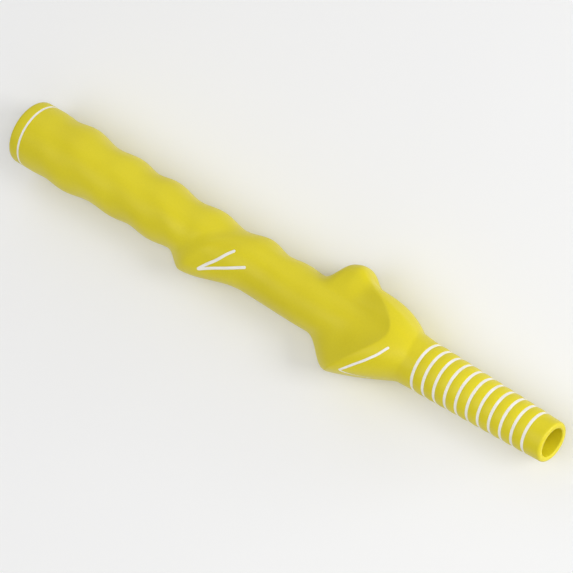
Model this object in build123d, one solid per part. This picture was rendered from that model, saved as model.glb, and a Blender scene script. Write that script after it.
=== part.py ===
"""Slip-on golf training grip: a moulded rubber sleeve with hand positions, its end cap and its white infills."""

import os
from math import cos, exp, pi, radians, sin, sqrt

from build123d import *

# ---------------------------------------------------------------- driving dimensions, mm
# "Station" is the distance from the butt end along the grip. "Clock" is the angle round the grip:
# 0 is the middle of the thumb channel, which faces up as the grip lies; +90 is the crest that carries
# the V marks, towards -Y; -90 is the finger lobe, towards +Y.
LENGTH = 268.0

CAP_FLANGE = 4.5  # thickness of the end cap that shows
CAP_SEAT = 8.0  # station of the cap's inner face, where the shaft stops
CAP_SPIGOT_RADIUS = 9.0
CAP_ROUND_LENGTH = 1.6  # the cap's edge is a quarter ellipse
CAP_ROUND_HEIGHT = 0.8
CAP_DISH_RADIUS = 7.5  # shallow round recess in the cap's outer face
CAP_DISH_DEPTH = 0.6
VENT_RADIUS = 1.5  # lets air out while the grip is pushed on

BORE_RADIUS = 6.0
MOUTH_ROUND = 1.1  # outer edge of the mouth
MOUTH_ROUND_CLEARANCE = 0.01  # the rounding starts this far above the surface, so that the two cross
MOUTH_LEAD_IN = 0.6  # inner edge of the mouth

TAIL_START = 204.0  # from here on the grip is round
TAIL_RADIUS_START = 10.15
TAIL_RADIUS_END = 8.4
RING_COUNT = 11
FIRST_RING = 206.9
RING_PITCH = 5.293
TAIL_RING_WIDTH = 1.3
BUTT_RING_WIDTH = 1.0
INFILL_DEPTH = 0.5  # groove depth below the surface
INFILL_RECESS = 0.08  # the white rings stay this far below the surface
V_RECESS = 0.02  # and the white V marks this far

# Cross-sections of the outside: (up to this station, distance between them).
SECTION_SPACING = [(80, 3), (126, 2), (147, 3), (TAIL_START, 1.9), (LENGTH, 8)]
SECTION_QUARTER_SPANS = 12  # each section is four curves, a quarter of a turn each, with this many spans
TANGENT_STEP = 0.5  # degrees either side of a curve's end, to find its direction there
NORMAL_STEP = 0.05  # mm or degrees either side of a place, to find which way the surface faces
CUT_MARGIN = 1.0  # cutting tools reach this far past the surface

# ---------------------------------------------------------------- the hand shape
# Mean radius along the grip: (station, radius).
CORE = [(0, 13.35), (26, 13.25), (50, 12.25), (72, 12.05), (96, 11.05), (120, 11.05),
        (150, 11.05), (172, 11.2), (201, 10.3), (204, 10.15)]
# How far the section leans towards the crest side: (station, offset).
LEAN = [(0, 0), (50, 0), (80, 0.3), (120, 0.25), (150, 0.75), (170, 0.2), (195, -0.3), (204, 0)]
# Finger grooves are waves along the grip; these stations are the tops of the waves.
WAVE_TOPS = [3.5, 26.4, 51.1, 71.1, 95.2, 120.4, 141.7, 163]
WAVE_HEIGHT = [(0, 0), (9, 0), (18, 0.6), (26, 0.8), (50, 0.7), (72, 0.65), (95, 0.87), (118, 1.05),
               (140, 0.4), (152, 0), (204, 0)]
# Share of the wave height that is left under the palm, at clock 0: (station, share).
WAVE_UNDER_PALM = [(0, 0.3), (40, 0.2), (75, 0.3), (92, 0.6), (125, 0.1), (204, 0)]
PALM_BREADTH = 1.1  # above 1, so that this share holds for a little way either side
WAVE_TURN_START = -46.0  # the waves run one pitch along the grip between this clock angle
WAVE_TURN_END = 74.0  # and this one
WAVE_TURN_LAST = 100.0  # and run straight round from this station on
WAVE_GAP = (68.0, 112.0)  # between these stations, where that turn runs out, clock 180 has no waves
CREST_WAVE_LOSS = 0.3  # the waves are this much lower on the crest side
CREST_WAVE_END = 76.0  # and fade out there from this station
FADE_LENGTH = 12.0
TURN_FADE_LENGTH = 20.0

# Ledge for the left thumb and forefinger: (clock, height).
LEDGE_HEIGHT = [(-120, 0), (-60, 0.2), (-20, 0.8), (15, 1.6), (45, 2.5), (65, 4.3), (85, 5.3), (105, 4.8),
                (130, 3.0), (155, 1.0), (172, 0), (180, 0)]
LEDGE_TOP = 91.2  # station of its top at clock 90
LEDGE_SLANT = 0.175  # mm along the grip for each degree away from clock 90, towards the front
LEDGE_SLANT_BEHIND = 0.05
LEDGE_RISE = 9.6  # length of the steep side, facing the butt
LEDGE_FALL = 29.0  # length of the long side, facing the mouth

# Collar that the right thumb and forefinger close round: (clock, rim station, rim radius, foot station).
RIM = [(-90, 174.6, 16.9, 149), (-66, 172.6, 17.4, 153), (-57.5, 179.0, 16.6, 155), (-50, 182.8, 15.7, 156.5),
       (-42, 186.0, 15.1, 159.5), (-33, 188.8, 14.7, 167), (-15, 191.0, 13.7, 172.5), (5, 189.5, 14.1, 171.5),
       (20, 186.8, 15.3, 168), (35, 183.1, 16.8, 164), (50, 179.0, 18.6, 160), (68, 173.2, 21.0, 157),
       (88, 169.6, 21.0, 153.5), (110, 173.0, 19.5, 156), (130, 178.5, 17.2, 158.5), (150, 184.5, 15.2, 164),
       (170, 188.5, 14.2, 169), (190, 188.5, 14.0, 169.5), (210, 185, 14.8, 165), (230, 179, 16.0, 156),
       (250, 174, 17.0, 149)]
# How round the collar's long side is, where it runs down to the tail: (clock, power).
COLLAR_POWER = [(-90, 2.3), (-30, 1.35), (30, 1.5), (90, 1.08), (180, 1.8)]
COLLAR_END = [(-90, 197.0), (-45, 199.4), (0, 201.4), (45, 199.6), (90, 197.6), (180, 200.5)]
COLLAR_FILLET = 0.06
RIM_SHARPNESS = 0.85  # share of the rim's inner side that stays steep up to the edge at clock 0
RIM_BREADTH = 1.3  # above 1, so that this share holds for some way either side

# Lobe beside the collar, for the fingertips: (clock, height), then its place and length.
LOBE_HEIGHT = [(-180, 0.3), (-150, 2.4), (-125, 6.3), (-105, 7.6), (-90, 8.0), (-78, 7.5), (-70, 6.7), (-66, 6.1),
               (-62, 5.1), (-50, 2.2), (-42, 0.8), (-37, 0.2), (-30, 0), (-20, 0), (160, 0), (170, 0)]
LOBE_STATION = 159.4
LOBE_BUTT_SIDE = 6.5
LOBE_MOUTH_SIDE = 8.4
LOBE_POWER = 2.8

# V marks: width of the line, then each arm from the apex on, as (station, clock) points.
V_MARKS = {
    "left_hand_v_inlay": (1.25, [(101.9, 61), (106.0, 43.5), (109.9, 26.0), (112.6, 9.5), (115.0, -4.5)],
                          [(101.9, 61), (114.7, 33), (122.5, 13)]),
    "right_hand_v_inlay": (1.05, [(178.4, 66.5), (183.8, 51.5), (189.3, 34.0), (192.5, 19.5), (194.7, 3.0)],
                           [(178.4, 66.5), (183.4, 76.5), (188.0, 90)]),
}
V_STEPS = 12  # spans along each arm


def curve_through(points, place, period=None):
    """Value at place on a smooth curve through (place, value) points; period makes the curve closed."""
    knots = [(float(p[0]), float(p[1])) for p in points]
    if period:
        before = [(p - period, v) for p, v in knots[-2:]]
        after = [(p + period, v) for p, v in knots[:2]]
        place = (place - knots[0][0]) % period + knots[0][0]
        knots = before + knots + after
    place = min(max(place, knots[0][0]), knots[-1][0])
    i = 0
    while i < len(knots) - 2 and place >= knots[i + 1][0]:
        i += 1

    def slope(k):
        if k == 0:
            return (knots[1][1] - knots[0][1]) / (knots[1][0] - knots[0][0])
        if k == len(knots) - 1:
            return (knots[k][1] - knots[k - 1][1]) / (knots[k][0] - knots[k - 1][0])
        before_gap = knots[k][0] - knots[k - 1][0]
        after_gap = knots[k + 1][0] - knots[k][0]
        before_slope = (knots[k][1] - knots[k - 1][1]) / before_gap
        after_slope = (knots[k + 1][1] - knots[k][1]) / after_gap
        return (before_slope * after_gap + after_slope * before_gap) / (before_gap + after_gap)

    gap = knots[i + 1][0] - knots[i][0]
    t = (place - knots[i][0]) / gap
    start = (2 * t**3 - 3 * t**2 + 1) * knots[i][1] + (t**3 - 2 * t**2 + t) * gap * slope(i)
    end = (-2 * t**3 + 3 * t**2) * knots[i + 1][1] + (t**3 - t**2) * gap * slope(i + 1)
    return start + end


def ease(t):
    """0 up to t = 0, 1 from t = 1 on, and half a cosine wave between."""
    return (1 - cos(pi * min(max(t, 0), 1))) / 2


def facing_up(clock, breadth):
    """1 at clock 0 and 0 from clock 90 round to -90; a breadth above 1 makes the middle part wider."""
    return ease(breadth * max(cos(radians(clock)), 0))


def finger_waves(station, clock):
    crest_side = (1 + sin(radians(clock))) / 2
    under_palm = facing_up(clock, PALM_BREADTH)
    share = 1 - (1 - curve_through(WAVE_UNDER_PALM, station)) * under_palm
    height = curve_through(WAVE_HEIGHT, station) * share * (1 - CREST_WAVE_LOSS * crest_side)
    height *= 1 - crest_side * ease((station - CREST_WAVE_END) / FADE_LENGTH)
    gap = ease((station - WAVE_GAP[0]) / FADE_LENGTH) * ease((WAVE_GAP[1] - station) / FADE_LENGTH)
    height *= 1 - gap * facing_up(clock + 180, 1)
    wave_number = curve_through([(top, i) for i, top in enumerate(WAVE_TOPS)], station)
    turn = ease((clock - WAVE_TURN_START) / (WAVE_TURN_END - WAVE_TURN_START))
    turn *= ease((WAVE_TURN_LAST - station) / TURN_FADE_LENGTH)
    return height * cos(2 * pi * (wave_number - turn))


def thumb_ledge(station, clock):
    behind = max(clock - 90, 0)
    ahead = max(90 - clock, 0)
    top = LEDGE_TOP + LEDGE_SLANT * ahead - LEDGE_SLANT_BEHIND * behind
    height = curve_through(LEDGE_HEIGHT, clock, 360)
    if station < top:
        return height * ease(1 + (station - top) / LEDGE_RISE)
    return height * (1 - ease((station - top) / LEDGE_FALL))


def collar(station, clock, core):
    rim = curve_through([(row[0], row[1]) for row in RIM], clock, 360)
    rim_radius = curve_through([(row[0], row[2]) for row in RIM], clock, 360)
    foot = curve_through([(row[0], row[3]) for row in RIM], clock, 360)
    height = rim_radius - core
    if station < rim:
        up = min(max((station - foot) / (rim - foot), 0), 1)
        sharp = RIM_SHARPNESS * facing_up(clock, RIM_BREADTH)
        return height * ((1 - sharp) * ease(up) + sharp * up**2)
    end = curve_through(COLLAR_END, clock, 360)
    down = 1 - ((station - rim) / (end - rim)) ** curve_through(COLLAR_POWER, clock, 360)
    return height * (down + sqrt(down**2 + COLLAR_FILLET**2)) / 2


def finger_lobe(station, clock):
    side = LOBE_BUTT_SIDE if station < LOBE_STATION else LOBE_MOUTH_SIDE
    reach = abs(station - LOBE_STATION) / side
    return curve_through(LOBE_HEIGHT, clock, 360) * exp(-(reach**LOBE_POWER))


def surface_radius(station, clock):
    """Radius of the grip's outside at a station and a clock angle."""
    if station >= TAIL_START:
        return tail_radius(station)
    clock = (clock + 180) % 360 - 180
    core = curve_through(CORE, station) + curve_through(LEAN, station) * sin(radians(clock))
    radius = core + finger_waves(station, clock) + thumb_ledge(station, clock)
    return radius + collar(station, clock, core) + finger_lobe(station, clock)


def tail_radius(station):
    """Radius of the round tail at its rings: a straight taper."""
    along = (station - TAIL_START) / (LENGTH - TAIL_START)
    return TAIL_RADIUS_START + (TAIL_RADIUS_END - TAIL_RADIUS_START) * along


def point(station, clock, radius):
    """Point of the part's frame: the origin is where the shaft stops, +X runs towards the mouth."""
    angle = radians(clock)
    return Vector(station - CAP_SEAT, -radius * sin(angle), radius * cos(angle))


def along_axis(station, radius):
    """Point of a half profile in the XZ plane, for turning about the axis."""
    return (station - CAP_SEAT, radius)


def turned(profile):
    """Solid of revolution about the grip's axis from a closed half profile."""
    face = Plane.XZ * make_face(profile)
    return revolve(face, Axis.X, 360)


def on_surface(station, clock):
    return point(station, clock, surface_radius(station, clock))


def straight_out(station, clock):
    """Direction that stands square to the surface."""
    along = on_surface(station + NORMAL_STEP, clock) - on_surface(station - NORMAL_STEP, clock)
    around = on_surface(station, clock + NORMAL_STEP) - on_surface(station, clock - NORMAL_STEP)
    return around.cross(along).normalized()


def section(station):
    """Cross-section of the grip's outside at a station: four curves that run smoothly into each other."""
    quarters = []
    for quarter in range(4):
        clocks = [90 * quarter + 90 * i / SECTION_QUARTER_SPANS for i in range(SECTION_QUARTER_SPANS + 1)]
        ends = [on_surface(station, clock + TANGENT_STEP) - on_surface(station, clock - TANGENT_STEP)
                for clock in (clocks[0], clocks[-1])]
        even = [i / SECTION_QUARTER_SPANS for i in range(SECTION_QUARTER_SPANS + 1)]
        points = [on_surface(station, clock) for clock in clocks]
        quarters.append(Edge.make_spline(points, tangents=ends, parameters=even))
    return Face(Wire(quarters))


def stations_between(start, end, step):
    count = round((end - start) / step)
    return [start + (end - start) * i / count for i in range(count)]


def butt_ring_floor():
    """Radius of the step that the butt ring sits on."""
    return surface_radius(CAP_FLANGE, 0) - INFILL_DEPTH


def outside():
    """The whole sleeve as if it were solid: drawn through its cross-sections, behind the butt ring's step."""
    step_end = CAP_FLANGE + BUTT_RING_WIDTH
    sections = []
    start = step_end
    for end, spacing in SECTION_SPACING:
        sections += [section(station) for station in stations_between(start, end, spacing)]
        start = end
    step = ring(CAP_FLANGE, step_end, 0, butt_ring_floor())
    return loft(sections + [section(LENGTH)]) + step


def tail_ring_spans():
    """Start and end of each ring on the tail."""
    starts = [FIRST_RING + RING_PITCH * i - TAIL_RING_WIDTH / 2 for i in range(RING_COUNT)]
    return [(start, start + TAIL_RING_WIDTH) for start in starts]


def outside_mouth_edge():
    """What is cut away to round the mouth's outer edge."""
    start = LENGTH - MOUTH_ROUND
    top = tail_radius(start) + MOUTH_ROUND_CLEARANCE
    middle = MOUTH_ROUND * sin(radians(45))
    quarter = ThreePointArc(along_axis(start, top),
                            along_axis(start + middle, top - MOUTH_ROUND + middle),
                            along_axis(LENGTH, top - MOUTH_ROUND))
    beyond = LENGTH + CUT_MARGIN
    above = top + CUT_MARGIN
    back = Polyline(along_axis(LENGTH, top - MOUTH_ROUND), along_axis(beyond, top - MOUTH_ROUND),
                    along_axis(beyond, above), along_axis(start, above), along_axis(start, top))
    return turned([quarter, back])


def ring(start, end, bottom, top):
    """Round band about the axis, between two stations and two radii."""
    corners = [(start, bottom), (end, bottom), (end, top), (start, top)]
    return turned(Polyline([along_axis(*corner) for corner in corners], close=True))


def v_arm(width, line, height):
    """Strip let into the surface along a line, height tall from its floor."""
    first, last = line[0][0], line[-1][0]

    def on_line(station):
        station = min(max(station, first), last)
        return station, curve_through(line, station)

    sections = []
    for i in range(V_STEPS + 1):
        station = first + (last - first) * i / V_STEPS
        outward = straight_out(*on_line(station))
        centre = on_surface(*on_line(station)) - outward * INFILL_DEPTH
        heading = on_surface(*on_line(station + NORMAL_STEP)) - on_surface(*on_line(station - NORMAL_STEP))
        across = heading.cross(outward).normalized() * (width / 2)
        rise = outward * height
        corners = [centre - across, centre + across, centre + across + rise, centre - across + rise]
        sections.append(Face(Wire.make_polygon(corners)))
    return loft(sections, ruled=True)


def v_mark(width, first_line, second_line, height):
    """Two arms that meet at the apex."""
    return v_arm(width, first_line, height) + v_arm(width, second_line, height)


def grip_body():
    body = outside() - outside_mouth_edge()
    bore_corners = [(CAP_FLANGE, 0), (CAP_FLANGE, CAP_SPIGOT_RADIUS), (CAP_SEAT, CAP_SPIGOT_RADIUS),
                    (CAP_SEAT, BORE_RADIUS), (LENGTH - MOUTH_LEAD_IN, BORE_RADIUS),
                    (LENGTH, BORE_RADIUS + MOUTH_LEAD_IN), (LENGTH, 0)]
    body -= turned(Polyline([along_axis(*corner) for corner in bore_corners], close=True))
    for start, end in tail_ring_spans():
        floor = tail_radius(start) - INFILL_DEPTH
        body -= ring(start, end, floor, floor + INFILL_DEPTH + CUT_MARGIN)
    for mark in V_MARKS.values():
        body -= v_mark(*mark, 2 * INFILL_DEPTH)
    return body


def end_cap():
    """Flange with a rounded edge, and the spigot that the body is moulded round."""
    rim = surface_radius(CAP_FLANGE, 0)
    edge_start = along_axis(CAP_ROUND_LENGTH, rim)
    edge_end = along_axis(0, rim - CAP_ROUND_HEIGHT)
    outline = [
        Line(along_axis(CAP_FLANGE, rim), edge_start),
        EllipticalCenterArc(along_axis(CAP_ROUND_LENGTH, rim - CAP_ROUND_HEIGHT), CAP_ROUND_LENGTH,
                            CAP_ROUND_HEIGHT, start_angle=90, arc_size=90),
        Polyline(edge_end, along_axis(0, CAP_DISH_RADIUS), along_axis(CAP_DISH_DEPTH, CAP_DISH_RADIUS - 1),
                 along_axis(CAP_DISH_DEPTH, VENT_RADIUS), along_axis(CAP_SEAT, VENT_RADIUS),
                 along_axis(CAP_SEAT, CAP_SPIGOT_RADIUS), along_axis(CAP_FLANGE, CAP_SPIGOT_RADIUS),
                 along_axis(CAP_FLANGE, rim)),
    ]
    return turned(outline)


def infills():
    """The white pieces: one ring at the butt, the rings on the tail, and the two V marks."""
    height = INFILL_DEPTH - INFILL_RECESS
    floor = butt_ring_floor()
    pieces = {"butt_ring_inlay": ring(CAP_FLANGE, CAP_FLANGE + BUTT_RING_WIDTH, floor, floor + height)}
    for number, (start, end) in enumerate(tail_ring_spans(), start=1):
        floor = tail_radius(start) - INFILL_DEPTH
        pieces[f"tail_ring_inlay_{number:02d}"] = ring(start, end, floor, floor + height)
    for name, mark in V_MARKS.items():
        pieces[name] = v_mark(*mark, INFILL_DEPTH - V_RECESS)
    return pieces


def main():
    os.makedirs("parts", exist_ok=True)
    nodes = {"grip_body": grip_body(), "butt_cap": end_cap(), **infills()}
    for name, solid in nodes.items():
        export_step(solid, f"parts/{name}.step")


if __name__ == "__main__":
    main()
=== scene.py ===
"""Looks of the golf training grip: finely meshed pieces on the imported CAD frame, floor, light and camera."""

from math import cos, pi, radians, sin

import bmesh
import bpy
import numpy as np
from mathutils import Matrix, Vector


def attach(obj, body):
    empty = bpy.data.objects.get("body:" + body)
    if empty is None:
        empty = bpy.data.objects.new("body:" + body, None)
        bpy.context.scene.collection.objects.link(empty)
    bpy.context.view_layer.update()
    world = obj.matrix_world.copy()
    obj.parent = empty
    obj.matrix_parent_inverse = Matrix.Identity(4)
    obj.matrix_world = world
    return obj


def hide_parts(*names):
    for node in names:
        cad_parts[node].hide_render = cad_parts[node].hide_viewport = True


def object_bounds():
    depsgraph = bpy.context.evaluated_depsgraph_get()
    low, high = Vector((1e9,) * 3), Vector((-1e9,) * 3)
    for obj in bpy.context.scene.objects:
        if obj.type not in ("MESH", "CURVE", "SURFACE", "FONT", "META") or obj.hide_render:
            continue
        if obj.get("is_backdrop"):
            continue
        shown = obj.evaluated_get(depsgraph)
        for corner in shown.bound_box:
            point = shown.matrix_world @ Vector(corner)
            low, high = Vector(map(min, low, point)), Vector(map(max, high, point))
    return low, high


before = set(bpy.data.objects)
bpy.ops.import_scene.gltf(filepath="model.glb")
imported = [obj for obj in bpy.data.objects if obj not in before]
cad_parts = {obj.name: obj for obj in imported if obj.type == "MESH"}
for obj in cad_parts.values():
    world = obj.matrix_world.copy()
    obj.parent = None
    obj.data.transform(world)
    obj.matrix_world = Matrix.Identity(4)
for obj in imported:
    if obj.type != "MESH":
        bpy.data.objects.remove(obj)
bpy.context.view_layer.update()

MM = 0.001

# ---------------------------------------- the grip's shape, in mm as in the CAD model
# "Station" is the distance from the butt end along the grip. "Clock" is the angle round the grip: 0 is the
# middle of the thumb channel, facing up; +90 is the crest with the V marks (-Y), -90 the finger lobe (+Y).
LENGTH = 268.0

CAP_FLANGE = 4.5  # thickness of the end cap that shows
CAP_SEAT = 8.0  # station of the cap's inner face, where the shaft stops
CAP_SPIGOT_RADIUS = 9.0
CAP_ROUND_LENGTH = 1.6  # the cap's edge is a quarter ellipse
CAP_ROUND_HEIGHT = 0.8
CAP_DISH_RADIUS = 7.5  # shallow round recess in the cap's outer face
CAP_DISH_DEPTH = 0.6
VENT_RADIUS = 1.5

BORE_RADIUS = 6.0
MOUTH_ROUND = 1.1  # outer edge of the mouth
MOUTH_LEAD_IN = 0.6  # inner edge of the mouth

TAIL_START = 204.0  # from here on the grip is round
TAIL_RADIUS_START = 10.15
TAIL_RADIUS_END = 8.4
RING_COUNT = 11
FIRST_RING = 206.9
RING_PITCH = 5.293
TAIL_RING_WIDTH = 1.3
BUTT_RING_WIDTH = 1.0
INFILL_DEPTH = 0.5  # groove depth below the surface
INFILL_RECESS = 0.08  # the white rings stay this far below the surface
V_RECESS = 0.02  # and the white V marks this far

# Mean radius along the grip: (station, radius).
CORE = [(0, 13.35), (26, 13.25), (50, 12.25), (72, 12.05), (96, 11.05), (120, 11.05),
        (150, 11.05), (172, 11.2), (201, 10.3), (204, 10.15)]
# How far the section leans towards the crest side: (station, offset).
LEAN = [(0, 0), (50, 0), (80, 0.3), (120, 0.25), (150, 0.75), (170, 0.2), (195, -0.3), (204, 0)]
# Finger grooves are waves along the grip; these stations are the tops of the waves.
WAVE_TOPS = [3.5, 26.4, 51.1, 71.1, 95.2, 120.4, 141.7, 163]
WAVE_HEIGHT = [(0, 0), (9, 0), (18, 0.6), (26, 0.8), (50, 0.7), (72, 0.65), (95, 0.87), (118, 1.05),
               (140, 0.4), (152, 0), (204, 0)]
# Share of the wave height that is left under the palm, at clock 0: (station, share).
WAVE_UNDER_PALM = [(0, 0.3), (40, 0.2), (75, 0.3), (92, 0.6), (125, 0.1), (204, 0)]
PALM_BREADTH = 1.1  # above 1, so that this share holds for a little way either side
WAVE_TURN_START = -46.0  # the waves run one pitch along the grip between this clock angle
WAVE_TURN_END = 74.0  # and this one
WAVE_TURN_LAST = 100.0  # and run straight round from this station on
WAVE_GAP = (68.0, 112.0)  # between these stations, where that turn runs out, clock 180 has no waves
CREST_WAVE_LOSS = 0.3  # the waves are this much lower on the crest side
CREST_WAVE_END = 76.0  # and fade out there from this station
FADE_LENGTH = 12.0
TURN_FADE_LENGTH = 20.0

# Ledge for the left thumb and forefinger: (clock, height).
LEDGE_HEIGHT = [(-120, 0), (-60, 0.2), (-20, 0.8), (15, 1.6), (45, 2.5), (65, 4.3), (85, 5.3), (105, 4.8),
                (130, 3.0), (155, 1.0), (172, 0), (180, 0)]
LEDGE_TOP = 91.2  # station of its top at clock 90
LEDGE_SLANT = 0.175  # mm along the grip for each degree away from clock 90, towards the front
LEDGE_SLANT_BEHIND = 0.05
LEDGE_RISE = 9.6  # length of the steep side, facing the butt
LEDGE_FALL = 29.0  # length of the long side, facing the mouth

# Collar that the right thumb and forefinger close round: (clock, rim station, rim radius, foot station).
RIM = [(-90, 174.6, 16.9, 149), (-66, 172.6, 17.4, 153), (-57.5, 179.0, 16.6, 155),
       (-50, 182.8, 15.7, 156.5), (-42, 186.0, 15.1, 159.5), (-33, 188.8, 14.7, 167),
       (-15, 191.0, 13.7, 172.5), (5, 189.5, 14.1, 171.5), (20, 186.8, 15.3, 168), (35, 183.1, 16.8, 164),
       (50, 179.0, 18.6, 160), (68, 173.2, 21.0, 157), (88, 169.6, 21.0, 153.5), (110, 173.0, 19.5, 156),
       (130, 178.5, 17.2, 158.5), (150, 184.5, 15.2, 164), (170, 188.5, 14.2, 169),
       (190, 188.5, 14.0, 169.5), (210, 185, 14.8, 165), (230, 179, 16.0, 156), (250, 174, 17.0, 149)]
# How round the collar's long side is, where it runs down to the tail: (clock, power).
COLLAR_POWER = [(-90, 2.3), (-30, 1.35), (30, 1.5), (90, 1.08), (180, 1.8)]
COLLAR_END = [(-90, 197.0), (-45, 199.4), (0, 201.4), (45, 199.6), (90, 197.6), (180, 200.5)]
COLLAR_FILLET = 0.06
RIM_SHARPNESS = 0.85  # share of the rim's inner side that stays steep up to the edge at clock 0
RIM_BREADTH = 1.3  # above 1, so that this share holds for some way either side

# Lobe beside the collar, for the fingertips: (clock, height), then its place and length.
LOBE_HEIGHT = [(-180, 0.3), (-150, 2.4), (-125, 6.3), (-105, 7.6), (-90, 8.0), (-78, 7.5), (-70, 6.7),
               (-66, 6.1), (-62, 5.1), (-50, 2.2), (-42, 0.8), (-37, 0.2), (-30, 0), (-20, 0),
               (160, 0), (170, 0)]
LOBE_STATION = 159.4
LOBE_BUTT_SIDE = 6.5
LOBE_MOUTH_SIDE = 8.4
LOBE_POWER = 2.8

# V marks: width of the line, then each arm from the apex on, as (station, clock) points.
V_MARKS = {
    "left_hand_v": (1.25, [(101.9, 61), (106.0, 43.5), (109.9, 26.0), (112.6, 9.5), (115.0, -4.5)],
                    [(101.9, 61), (114.7, 33), (122.5, 13)]),
    "right_hand_v": (1.05, [(178.4, 66.5), (183.8, 51.5), (189.3, 34.0), (192.5, 19.5), (194.7, 3.0)],
                     [(178.4, 66.5), (183.4, 76.5), (188.0, 90)]),
}

# ---------------------------------------- detail that only the visual model has, in mm
SKIN_STEP = 0.5  # along the hand shape
SKIN_SIDES = 288
RING_SIDES = 192
TAIL_LEAD_STEPS = 5  # between the hand shape and the first ring
MOUTH_BAND_STEPS = 8  # between the last ring and the mouth
BORE_STEPS = 40
GROOVE_LIP = 0.22  # rounding of a groove's edges
BAND_CROWN = 0.16  # how much the bands between the rings bulge
BAND_STEPS = 10
INFILL_EDGE = 0.14  # rounding of an infill's edges
INFILL_TOP_SHARE = 1 / 6  # an infill's flat top has points this share of its width off the middle
ARC_STEPS = 6
CAP_ARC_STEPS = 24
CAP_ARC_START = 92  # degrees; the cap's rounded edge starts just past level
DISH_ROUND = 0.5
VENT_ROUND = 0.3
V_STEPS = 48
V_END_BREADTH = 0.3  # share of the width that is left at the very end of an arm
V_WALL_FLARE = ((0.0, -0.08), (0.02, -0.03), (0.06, 0.0), (0.16, 0.03), (0.4, 0.14))  # (outwards, height)
CUTTER_TOP = 0.6  # the tool that cuts a V groove ends this far above the surface
NORMAL_STEP = 0.05  # mm or degrees ahead of a place, to find which way the surface faces
SHARP_ANGLE = 38  # degrees; an edge that turns by more is shaded as sharp


def curve_through(points, places, period=None):
    """Values at places on a smooth curve through (place, value) points. A period makes the curve closed."""
    x = np.array([row[0] for row in points], float)
    y = np.array([row[1] for row in points], float)
    places = np.asarray(places, float)
    if period:
        places = (places - x[0]) % period + x[0]
        x = np.concatenate([x[-2:] - period, x, x[:2] + period])
        y = np.concatenate([y[-2:], y, y[:2]])
    places = np.clip(places, x[0], x[-1])
    gaps = np.diff(x)
    slopes = np.diff(y) / gaps
    inner = (slopes[:-1] * gaps[1:] + slopes[1:] * gaps[:-1]) / (gaps[:-1] + gaps[1:])
    knot_slopes = np.concatenate([slopes[:1], inner, slopes[-1:]])
    i = np.clip(np.searchsorted(x, places, side="right") - 1, 0, len(gaps) - 1)
    t = (places - x[i]) / gaps[i]
    start = (2 * t**3 - 3 * t**2 + 1) * y[i] + (t**3 - 2 * t**2 + t) * gaps[i] * knot_slopes[i]
    end = (-2 * t**3 + 3 * t**2) * y[i + 1] + (t**3 - t**2) * gaps[i] * knot_slopes[i + 1]
    return start + end


def ease(t):
    """0 up to t = 0, 1 from t = 1 on, and half a cosine wave between."""
    return (1 - np.cos(pi * np.clip(t, 0, 1))) / 2


def facing_up(clock, breadth):
    """1 at clock 0 and 0 from clock 90 round to -90; a breadth above 1 makes the middle part wider."""
    return ease(breadth * np.maximum(np.cos(np.radians(clock)), 0))


def finger_waves(station, clock):
    """Height of the finger grooves' waves."""
    crest_side = (1 + np.sin(np.radians(clock))) / 2
    under_palm = facing_up(clock, PALM_BREADTH)
    share = 1 - (1 - curve_through(WAVE_UNDER_PALM, station)) * under_palm
    height = curve_through(WAVE_HEIGHT, station) * share * (1 - CREST_WAVE_LOSS * crest_side)
    height *= 1 - crest_side * ease((station - CREST_WAVE_END) / FADE_LENGTH)
    gap = ease((station - WAVE_GAP[0]) / FADE_LENGTH) * ease((WAVE_GAP[1] - station) / FADE_LENGTH)
    height = height * (1 - gap * facing_up(clock + 180, 1))
    wave_number = curve_through([(top, i) for i, top in enumerate(WAVE_TOPS)], station)
    turn = ease((clock - WAVE_TURN_START) / (WAVE_TURN_END - WAVE_TURN_START))
    turn *= ease((WAVE_TURN_LAST - station) / TURN_FADE_LENGTH)
    return height * np.cos(2 * pi * (wave_number - turn))


def thumb_ledge(station, clock):
    """Height of the left hand's ledge, steep towards the butt and long towards the mouth."""
    behind = np.maximum(clock - 90, 0)
    ahead = np.maximum(90 - clock, 0)
    top = LEDGE_TOP + LEDGE_SLANT * ahead - LEDGE_SLANT_BEHIND * behind
    height = curve_through(LEDGE_HEIGHT, clock, 360)
    rise = ease(1 + (station - top) / LEDGE_RISE)
    fall = 1 - ease((station - top) / LEDGE_FALL)
    return height * np.where(station < top, rise, fall)


def collar(station, clock, core):
    """Height of the hand collar above the core, up to its rim and down to the tail."""
    rim = curve_through([(row[0], row[1]) for row in RIM], clock, 360)
    rim_radius = curve_through([(row[0], row[2]) for row in RIM], clock, 360)
    foot = curve_through([(row[0], row[3]) for row in RIM], clock, 360)
    up = np.clip((station - foot) / (rim - foot), 0, 1)
    sharp = RIM_SHARPNESS * facing_up(clock, RIM_BREADTH)
    inner_side = (1 - sharp) * ease(up) + sharp * up**2
    end = curve_through(COLLAR_END, clock, 360)
    along = np.maximum(station - rim, 0) / (end - rim)
    down = 1 - along ** curve_through(COLLAR_POWER, clock, 360)
    long_side = (down + np.sqrt(down**2 + COLLAR_FILLET**2)) / 2
    return (rim_radius - core) * np.where(station < rim, inner_side, long_side)


def finger_lobe(station, clock):
    """Height of the lobe beside the collar."""
    side = np.where(station < LOBE_STATION, LOBE_BUTT_SIDE, LOBE_MOUTH_SIDE)
    reach = np.abs(station - LOBE_STATION) / side
    return curve_through(LOBE_HEIGHT, clock, 360) * np.exp(-(reach**LOBE_POWER))


def tail_radius(station):
    """Radius of the round tail at its rings: a straight taper."""
    along = (station - TAIL_START) / (LENGTH - TAIL_START)
    return TAIL_RADIUS_START + (TAIL_RADIUS_END - TAIL_RADIUS_START) * along


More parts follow.
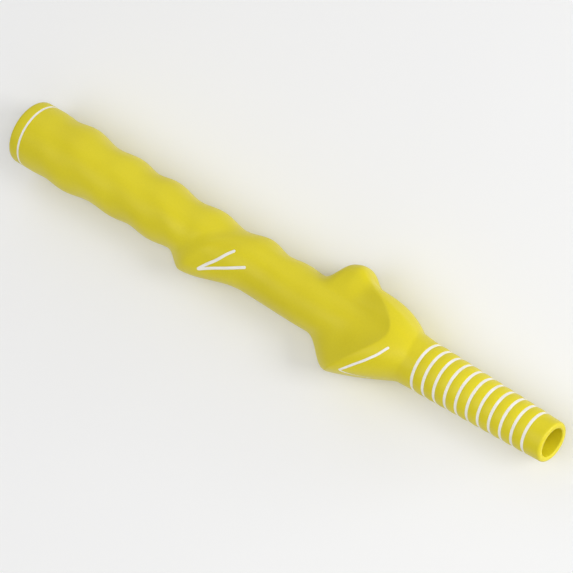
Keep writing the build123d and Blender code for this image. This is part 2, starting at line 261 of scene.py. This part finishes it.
def surface_radius(station, clock):
    """Radius of the grip's outside, for arrays of stations and clock angles."""
    station, clock = np.broadcast_arrays(np.asarray(station, float), np.asarray(clock, float))
    clock = (clock + 180) % 360 - 180
    core = curve_through(CORE, station) + curve_through(LEAN, station) * np.sin(np.radians(clock))
    radius = core + finger_waves(station, clock) + thumb_ledge(station, clock)
    radius = radius + collar(station, clock, core) + finger_lobe(station, clock)
    return np.where(station >= TAIL_START, tail_radius(station), radius)


def frame_points(station, clock, radius):
    """Points of the CAD frame, in metres, from stations, clock angles and radii."""
    angle = np.radians(clock)
    along = np.asarray(station, float) - CAP_SEAT + 0 * angle  # one for each angle
    return MM * np.stack([along, -radius * np.sin(angle), radius * np.cos(angle)], axis=-1)


def surface_points(station, clock):
    """Points of the CAD frame on the grip's outside."""
    return frame_points(station, clock, surface_radius(station, clock))


# ---------------------------------------- mesh helpers
def new_piece(name, points, faces):
    """Mesh object of the points and faces, with every face looking outwards."""
    mesh = bpy.data.meshes.new(name)
    mesh.from_pydata([tuple(p) for p in points], [], faces)
    shape = bmesh.new()
    shape.from_mesh(mesh)
    bmesh.ops.recalc_face_normals(shape, faces=shape.faces)
    shape.to_mesh(mesh)
    shape.free()
    piece = bpy.data.objects.new(name, mesh)
    bpy.context.collection.objects.link(piece)
    return piece


def smooth(piece):
    """Smooth shading, except across sharp edges."""
    piece.data.shade_smooth()
    piece.data.set_sharp_from_angle(angle=radians(SHARP_ANGLE))


def row_faces(rows, sides, closed=True):
    """Quads between rows of points. Each row is a loop; closed joins the last row to the first."""
    faces = []
    for i in range(rows if closed else rows - 1):
        here, ahead = i * sides, (i + 1) % rows * sides
        for j in range(sides):
            turn = (j + 1) % sides
            faces.append((here + j, here + turn, ahead + turn, ahead + j))
    return faces


def clock_angles(sides):
    """Clock angles of the points of one row round the grip."""
    return 360 * np.arange(sides) / sides


def turned_piece(name, profile):
    """Ring-shaped piece from a closed outline of (station, radius) points round the axis."""
    clocks = clock_angles(RING_SIDES)
    rows = [frame_points(station, clocks, radius) for station, radius in profile]
    piece = new_piece(name, np.concatenate(rows), row_faces(len(profile), RING_SIDES))
    smooth(piece)
    return piece


def arc(station, radius, along, out, start, end, steps=ARC_STEPS):
    """(station, radius) points of an elliptical arc about a centre, from the start angle to the end, in
    degrees. along and out are its half axes along the grip and outwards."""
    angles = np.radians(np.linspace(start, end, steps + 1))
    return [(station + along * cos(a), radius + out * sin(a)) for a in angles]


def combine(piece, tool, operation):
    """Applies a boolean with the tool to the piece, and removes the tool."""
    modifier = piece.modifiers.new("combine", "BOOLEAN")
    modifier.operation = operation
    modifier.solver = "MANIFOLD"
    modifier.object = tool
    graph = bpy.context.evaluated_depsgraph_get()
    result = bpy.data.meshes.new_from_object(piece.evaluated_get(graph))
    result.materials.clear()
    piece.modifiers.clear()
    old = piece.data
    piece.data = result
    result.name = piece.name
    bpy.data.meshes.remove(old)
    bpy.data.objects.remove(tool)


# ---------------------------------------- rubber sleeve
def butt_ring_floor():
    """Radius of the floor under the ring between end cap and sleeve."""
    return float(surface_radius(CAP_FLANGE, 0)) - INFILL_DEPTH


def ring_spans():
    """Start and end station of each white ring on the tail."""
    starts = [FIRST_RING + RING_PITCH * i - TAIL_RING_WIDTH / 2 for i in range(RING_COUNT)]
    return [(start, start + TAIL_RING_WIDTH) for start in starts]


def groove_edge(station, side):
    """(station, drop) points from the open surface down the groove wall at the station. The groove lies
    ahead of the wall if side is 1, and behind it if side is -1."""
    points = []
    for step in range(ARC_STEPS + 1):
        a = radians(90 * step / ARC_STEPS)
        points.append((station - side * GROOVE_LIP * (1 - sin(a)), GROOVE_LIP * (1 - cos(a))))
    return points + [(station, INFILL_DEPTH)]


def band(start, end):
    """(station, drop) points of one band between two grooves: a slightly bulging surface."""
    points = []
    for step in range(1, BAND_STEPS):
        t = step / BAND_STEPS
        points.append((start + (end - start) * t, -BAND_CROWN * 4 * t * (1 - t)))
    return points


def tail_profile():
    """(station, drop) points of the tail, with its grooves and bands."""
    spans = ring_spans()
    lead = spans[0][0] - GROOVE_LIP - TAIL_START
    points = [(TAIL_START + lead * i / TAIL_LEAD_STEPS, 0.0) for i in range(TAIL_LEAD_STEPS)]
    for number, (start, end) in enumerate(spans):
        points += groove_edge(start, 1)
        points += groove_edge(end, -1)[::-1]
        if number + 1 < RING_COUNT:
            points += band(end + GROOVE_LIP, spans[number + 1][0] - GROOVE_LIP)
    mouth_band = spans[-1][1] + GROOVE_LIP
    width = LENGTH - MOUTH_ROUND - mouth_band
    return points + [(mouth_band + width * i / MOUTH_BAND_STEPS, 0.0) for i in range(1, MOUTH_BAND_STEPS)]


def sleeve():
    """The rubber sleeve as one closed skin: outside, rounded mouth, bore and butt face."""
    clocks = clock_angles(SKIN_SIDES)
    ring_end = CAP_FLANGE + BUTT_RING_WIDTH
    butt_face = [(CAP_FLANGE, CAP_SPIGOT_RADIUS), (CAP_FLANGE, butt_ring_floor())]
    rows = [frame_points(station, clocks, radius) for station, radius in butt_face]
    skin = groove_edge(ring_end, -1)[::-1]
    first = ring_end + GROOVE_LIP + SKIN_STEP
    count = round((TAIL_START - first) / SKIN_STEP)
    skin += [(first + (TAIL_START - first) * i / count, 0.0) for i in range(count)]
    skin += tail_profile()
    for station, drop in skin:
        rows.append(frame_points(station, clocks, surface_radius(station, clocks) - drop))
    edge = LENGTH - MOUTH_ROUND
    edge_radius = float(tail_radius(edge)) - MOUTH_ROUND
    bore_start = LENGTH - MOUTH_LEAD_IN
    bore_step = (CAP_SEAT - bore_start) / BORE_STEPS
    inside = arc(edge, edge_radius, MOUTH_ROUND, MOUTH_ROUND, 90, 0)
    inside += arc(bore_start, BORE_RADIUS + MOUTH_LEAD_IN, MOUTH_LEAD_IN, -MOUTH_LEAD_IN, 0, 90)
    inside += [(bore_start + bore_step * i, BORE_RADIUS) for i in range(1, BORE_STEPS + 1)]
    inside += [(CAP_SEAT, CAP_SPIGOT_RADIUS)]
    rows += [frame_points(station, clocks, radius) for station, radius in inside]
    piece = new_piece("rubber_sleeve", np.concatenate(rows), row_faces(len(rows), SKIN_SIDES))
    for width, *lines in V_MARKS.values():
        for line in lines:
            combine(piece, v_arm("cutter", line, width, groove_section(width)), "DIFFERENCE")
    smooth(piece)
    return piece


# ---------------------------------------- V marks
def groove_section(width):
    """(across, height) outline of a V mark's groove, with flared edges."""
    side = [(width / 2 + across, height) for across, height in V_WALL_FLARE]
    right = [(width / 2, -INFILL_DEPTH)] + side + [(side[-1][0], CUTTER_TOP)]
    return right + [(-across, height) for across, height in right[::-1]]


def infill_section(width):
    """(across, height) outline of a V mark's white infill, with rounded upper edges."""
    top = -V_RECESS
    right = [(width / 2, -INFILL_DEPTH)]
    for step in range(ARC_STEPS + 1):
        a = radians(90 * step / ARC_STEPS)
        right.append((width / 2 - INFILL_EDGE * (1 - cos(a)), top - INFILL_EDGE * (1 - sin(a))))
    right.append((width * INFILL_TOP_SHARE, top))
    return right + [(-across, height) for across, height in right[::-1]]


def v_arm(name, line, width, section):
    """Closed strip with round ends that follows the surface along the line. The section is the strip's
    (across, height) outline."""
    station = line[0][0] + (line[-1][0] - line[0][0]) * ease(np.linspace(0, 1, V_STEPS + 1))
    clock = curve_through(line, station)
    centre = surface_points(station, clock)
    ahead = surface_points(station + NORMAL_STEP, clock)
    turned = surface_points(station, clock + NORMAL_STEP)
    normal = np.cross(turned - centre, ahead - centre)
    normal /= np.linalg.norm(normal, axis=1, keepdims=True)
    radial = centre * np.array([0, 1, 1])
    normal *= np.sign(np.sum(normal * radial, axis=1, keepdims=True))
    along = np.gradient(centre, axis=0)
    across = np.cross(along, normal)
    across /= np.linalg.norm(across, axis=1, keepdims=True)
    length = np.concatenate([[0], np.cumsum(np.linalg.norm(np.diff(centre, axis=0), axis=1))]) / MM
    from_end = np.minimum(length, length[-1] - length) / (width / 2)
    breadth = np.maximum(np.sqrt(1 - np.clip(1 - from_end, 0, 1) ** 2), V_END_BREADTH)
    points = []
    for i in range(V_STEPS + 1):
        for offset, height in section:
            points.append(centre[i] + MM * (breadth[i] * offset * across[i] + height * normal[i]))
    sides = len(section)
    faces = row_faces(V_STEPS + 1, sides, closed=False)
    faces.append(tuple(range(sides))[::-1])
    faces.append(tuple(V_STEPS * sides + j for j in range(sides)))
    return new_piece(name, points, faces)


def v_infill(name):
    """White infill of one V mark: its two arms made one piece."""
    width, first_line, second_line = V_MARKS[name]
    piece = v_arm(name, first_line, width, infill_section(width))
    combine(piece, v_arm("second_arm", second_line, width, infill_section(width)), "UNION")
    smooth(piece)
    return piece


# ---------------------------------------- rings and cap
def ring_infill(name, start, end, floor):
    """White ring in its groove, with rounded upper edges."""
    top = floor + INFILL_DEPTH - INFILL_RECESS
    centre = top - INFILL_EDGE
    outline = [(start, floor)]
    outline += arc(start + INFILL_EDGE, centre, INFILL_EDGE, INFILL_EDGE, 180, 90)
    outline += arc(end - INFILL_EDGE, centre, INFILL_EDGE, INFILL_EDGE, 90, 0)
    outline += [(end, floor)]
    return turned_piece(name, outline)


def end_cap():
    """End cap: rounded flange, shallow dish with a vent hole, and the spigot inside the sleeve."""
    rim = float(surface_radius(CAP_FLANGE, 0))
    lip = GROOVE_LIP
    outline = [(CAP_SEAT, VENT_RADIUS), (CAP_SEAT, CAP_SPIGOT_RADIUS), (CAP_FLANGE, CAP_SPIGOT_RADIUS)]
    outline += arc(CAP_FLANGE - lip, rim - lip, lip, lip, 0, 90)
    outline += arc(CAP_ROUND_LENGTH, rim - CAP_ROUND_HEIGHT, CAP_ROUND_LENGTH, CAP_ROUND_HEIGHT,
                   CAP_ARC_START, 180, CAP_ARC_STEPS)
    outline += arc(DISH_ROUND, CAP_DISH_RADIUS + DISH_ROUND, DISH_ROUND, DISH_ROUND, 180, 270)
    outline += [(CAP_DISH_DEPTH, CAP_DISH_RADIUS - VENT_ROUND)]
    outline += arc(CAP_DISH_DEPTH + VENT_ROUND, VENT_RADIUS + VENT_ROUND, VENT_ROUND, VENT_ROUND, 180, 270)
    return turned_piece("end_cap", outline)


# ---------------------------------------- materials
IOR = 1.5
GLOSS = 0.36
LIGHT_SPREAD = (1.0, 0.8, 0.25)  # how far red, green and blue light spread inside, as shares of the scale
LIGHT_SPREAD_SCALE = 1.2 * MM
YELLOW_SUBSURFACE = 0.06
WHITE_SUBSURFACE = 0.1
NOISE_LOW = 0.3  # a noise texture's values are nearly all between these two
NOISE_HIGH = 0.7

# Colours run from the noise's low values to its high ones.
BODY_YELLOWS = [(0.66, 0.56, 0.010), (0.69, 0.59, 0.012), (0.72, 0.62, 0.014)]
CAP_YELLOWS = [(0.63, 0.54, 0.010), (0.66, 0.57, 0.012), (0.69, 0.60, 0.014)]
WHITES = [(0.82, 0.79, 0.71), (0.92, 0.90, 0.84)]
SPECKLE_TINTS = [(0.97, 0.97, 0.97), (1, 1, 1)]
SPECKLE_RANGE = (0.35, 0.65)  # the noise values between which the speckle's tint changes
FLOOR_WHITES = [(0.9, 0.9, 0.9), (0.918, 0.918, 0.918)]

BODY_ROUGHNESS = 0.4
CAP_ROUGHNESS = 0.42
WHITE_ROUGHNESS = 0.5
FLOOR_ROUGHNESS = 0.7
FLOOR_GLOSS = 0.3
YELLOW_VARIATION = (-0.05, 0.06)  # how far the roughness varies, down and up
WHITE_VARIATION = (-0.06, 0.06)

# Noise: (features for each metre, detail).
MOTTLE = (38, 2)
SPECKLE = (1400, 2)
YELLOW_GLOSS_PATCHES = (60, 4)
YELLOW_UNEVENNESS = (70, 2)
GRAIN = (2600, 2)
WHITE_TINT = (220, 4)
WHITE_GLOSS_PATCHES = (300, 3)
WHITE_UNEVENNESS = (500, 3)
FLOOR_TONE = (3, 2)

YELLOW_UNEVENNESS_HEIGHT = 0.05 * MM
WHITE_UNEVENNESS_HEIGHT = 0.03 * MM
GRAIN_HEIGHT = 0.008 * MM


def material(name, roughness, gloss, subsurface):
    """New material, with its node tree and its shader node."""
    made = bpy.data.materials.new(name)
    made.use_nodes = True
    shader = made.node_tree.nodes["Principled BSDF"]
    shader.inputs["IOR"].default_value = IOR
    shader.inputs["Specular IOR Level"].default_value = gloss
    shader.inputs["Roughness"].default_value = roughness
    shader.inputs["Subsurface Weight"].default_value = subsurface
    shader.inputs["Subsurface Radius"].default_value = LIGHT_SPREAD
    shader.inputs["Subsurface Scale"].default_value = LIGHT_SPREAD_SCALE
    return made, made.node_tree, shader


def noise(tree, scale, detail):
    """Noise in the object's own space."""
    texture = tree.nodes.new("ShaderNodeTexNoise")
    texture.inputs["Scale"].default_value = scale
    texture.inputs["Detail"].default_value = detail
    if "place" not in tree.nodes:
        tree.nodes.new("ShaderNodeTexCoord").name = "place"
    tree.links.new(tree.nodes["place"].outputs["Object"], texture.inputs["Vector"])
    return texture.outputs["Fac"]


def ramp(tree, source, colours, low=NOISE_LOW, high=NOISE_HIGH):
    """Colour ramp fed by the source, with its colours evenly spaced from low to high."""
    node = tree.nodes.new("ShaderNodeValToRGB")
    elements = node.color_ramp.elements
    elements[0].position = low
    elements[1].position = high
    for position in np.linspace(low, high, len(colours))[1:-1]:
        elements.new(position)
    for element, colour in zip(elements, colours):
        element.color = (*colour, 1)
    tree.links.new(source, node.inputs["Fac"])
    return node.outputs["Color"]


def map_range(tree, source, low, high):
    """The noise's usual range stretched to low and high."""
    node = tree.nodes.new("ShaderNodeMapRange")
    node.inputs["From Min"].default_value = NOISE_LOW
    node.inputs["From Max"].default_value = NOISE_HIGH
    node.inputs["To Min"].default_value = low
    node.inputs["To Max"].default_value = high
    tree.links.new(source, node.inputs["Value"])
    return node.outputs["Result"]


def bump(tree, shader, layers):
    """Bump from several height layers; each is (height socket, distance in metres)."""
    normal = None
    for height, distance in layers:
        node = tree.nodes.new("ShaderNodeBump")
        node.inputs["Strength"].default_value = 1.0
        node.inputs["Distance"].default_value = distance
        tree.links.new(height, node.inputs["Height"])
        if normal:
            tree.links.new(normal, node.inputs["Normal"])
        normal = node.outputs["Normal"]
    tree.links.new(normal, shader.inputs["Normal"])


def vary_roughness(tree, shader, pattern, base, variation):
    """Patches of more and less gloss, in the pattern of a noise."""
    down, up = variation
    patches = map_range(tree, noise(tree, *pattern), base + down, base + up)
    tree.links.new(patches, shader.inputs["Roughness"])


def product(tree, first, second):
    """Product of two colour sockets."""
    node = tree.nodes.new("ShaderNodeMix")
    node.data_type = "RGBA"
    node.blend_type = "MULTIPLY"
    node.inputs["Factor"].default_value = 1.0
    tree.links.new(first, node.inputs["A"])
    tree.links.new(second, node.inputs["B"])
    return node.outputs["Result"]


def yellow_rubber(name, yellows, roughness):
    """Satin moulded rubber, softly mottled and finely speckled, with a fine grain."""
    made, tree, shader = material(name, roughness, GLOSS, YELLOW_SUBSURFACE)
    mottle = ramp(tree, noise(tree, *MOTTLE), yellows)
    speckle = ramp(tree, noise(tree, *SPECKLE), SPECKLE_TINTS, *SPECKLE_RANGE)
    tree.links.new(product(tree, mottle, speckle), shader.inputs["Base Color"])
    vary_roughness(tree, shader, YELLOW_GLOSS_PATCHES, roughness, YELLOW_VARIATION)
    unevenness = (noise(tree, *YELLOW_UNEVENNESS), YELLOW_UNEVENNESS_HEIGHT)
    bump(tree, shader, [unevenness, (noise(tree, *GRAIN), GRAIN_HEIGHT)])
    return made


def white_rubber(name):
    """Off-white infill with a slightly uneven surface."""
    made, tree, shader = material(name, WHITE_ROUGHNESS, GLOSS, WHITE_SUBSURFACE)
    tint = ramp(tree, noise(tree, *WHITE_TINT), WHITES)
    tree.links.new(tint, shader.inputs["Base Color"])
    vary_roughness(tree, shader, WHITE_GLOSS_PATCHES, WHITE_ROUGHNESS, WHITE_VARIATION)
    unevenness = (noise(tree, *WHITE_UNEVENNESS), WHITE_UNEVENNESS_HEIGHT)
    bump(tree, shader, [unevenness, (noise(tree, *GRAIN), GRAIN_HEIGHT)])
    return made


def floor_paper(name):
    """Plain pale paper with a very slight change of tone."""
    made, tree, shader = material(name, FLOOR_ROUGHNESS, FLOOR_GLOSS, subsurface=0.0)
    tone = ramp(tree, noise(tree, *FLOOR_TONE), FLOOR_WHITES)
    tree.links.new(tone, shader.inputs["Base Color"])
    return made


# ---------------------------------------- the object
body_rubber = yellow_rubber("yellow_rubber", BODY_YELLOWS, BODY_ROUGHNESS)
cap_rubber = yellow_rubber("yellow_cap_rubber", CAP_YELLOWS, CAP_ROUGHNESS)
white = white_rubber("white_infill")


def finish_piece(piece, node, look):
    """Gives the piece its material, and puts it in the CAD node's place."""
    piece.data.materials.append(look)
    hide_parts(node)
    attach(piece, "root")


finish_piece(sleeve(), "grip_body", body_rubber)
finish_piece(end_cap(), "butt_cap", cap_rubber)
butt_ring = ring_infill("butt_ring", CAP_FLANGE, CAP_FLANGE + BUTT_RING_WIDTH, butt_ring_floor())
finish_piece(butt_ring, "butt_ring_inlay", white)
for number, (ring_start, ring_end) in enumerate(ring_spans(), start=1):
    ring_floor = float(tail_radius(ring_start)) - INFILL_DEPTH
    tail_ring = ring_infill(f"tail_ring_{number:02d}", ring_start, ring_end, ring_floor)
    finish_piece(tail_ring, f"tail_ring_inlay_{number:02d}", white)
for mark_name in V_MARKS:
    finish_piece(v_infill(mark_name), f"{mark_name}_inlay", white)

# ---------------------------------------- floor, light and camera
FLOOR_HALF_SIZE = 6.0
FLOOR_CELLS = 24


def floor(height):
    """Plain pale floor that the object lies on, as a grid of squares."""
    steps = np.linspace(-FLOOR_HALF_SIZE, FLOOR_HALF_SIZE, FLOOR_CELLS + 1)
    points = [(x, y, height) for x in steps for y in steps]
    across = FLOOR_CELLS + 1
    faces = []
    for i in range(FLOOR_CELLS):
        for j in range(FLOOR_CELLS):
            corner = i * across + j
            faces.append((corner, corner + across, corner + across + 1, corner + 1))
    piece = new_piece("floor", points, faces)
    piece.data.materials.append(floor_paper("pale_floor"))
    piece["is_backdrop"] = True


low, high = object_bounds()
floor(low.z)

CAMERA_ELEVATION = 61.08  # degrees
CAMERA_ROLL = -59.13
CAMERA_PLACE = (1.14295, -0.00086, 1.83723)
CAMERA_LENS = 341.5  # mm
SENSOR_WIDTH = 36.0  # mm
CAMERA_SIGHT = 100  # metres


def camera():
    """Makes the camera: a long lens above the mouth's end, rolled so that the grip runs down to the right.
    Returns its right, up and back directions."""
    back = Vector((cos(radians(CAMERA_ELEVATION)), 0, sin(radians(CAMERA_ELEVATION))))
    level_right = Vector((0, 1, 0))
    level_up = back.cross(level_right)
    right = cos(radians(CAMERA_ROLL)) * level_right + sin(radians(CAMERA_ROLL)) * level_up
    up = back.cross(right)
    data = bpy.data.cameras.new("camera")
    data.sensor_width = SENSOR_WIDTH
    data.lens = CAMERA_LENS
    data.clip_end = CAMERA_SIGHT
    made = bpy.data.objects.new("camera", data)
    made.matrix_world = Matrix.Translation(CAMERA_PLACE) @ Matrix((right, up, back)).transposed().to_4x4()
    bpy.context.collection.objects.link(made)
    bpy.context.scene.camera = made
    return right, up, back


camera_right, camera_up, camera_back = camera()
centre = (low + high) / 2
LIGHT_DISTANCE = 1.6
# Lights: name, (rightward, upward, backward) as the camera first sees it, size in metres, power in watts.
LIGHTS = [
    ("mouth_side", (0.9, 0.1, 0.45), 0.5, 12.5),
    ("front_right", (0.5, 0.0, 0.87), 0.5, 7.6),
    ("front", (0.0, 0.0, 1.0), 0.4, 3.5),
    ("butt_side", (-0.7, 0.0, 0.7), 1.2, 6.0),
    ("below", (0.0, -0.5, 0.86), 1.2, 1.8),
    ("above", (-0.3, 0.9, 0.2), 1.2, 2.4),
]
WORLD_STRENGTH = 0.4


def soft_light(name, side, size, power):
    """Square area light that faces the object from the side given."""
    rightward, upward, backward = side
    direction = (rightward * camera_right + upward * camera_up + backward * camera_back).normalized()
    data = bpy.data.lights.new(name, "AREA")
    data.size = size
    data.energy = power
    made = bpy.data.objects.new(name, data)
    made.location = centre + direction * LIGHT_DISTANCE
    made.rotation_mode = "QUATERNION"
    made.rotation_quaternion = direction.to_track_quat("Z", "Y")
    bpy.context.collection.objects.link(made)


for light in LIGHTS:
    soft_light(*light)

world = bpy.data.worlds.new("studio")
world.use_nodes = True
background = world.node_tree.nodes["Background"]
background.inputs["Color"].default_value = (1, 1, 1, 1)
background.inputs["Strength"].default_value = WORLD_STRENGTH
bpy.context.scene.world = world
bpy.context.scene.view_settings.view_transform = "Standard"
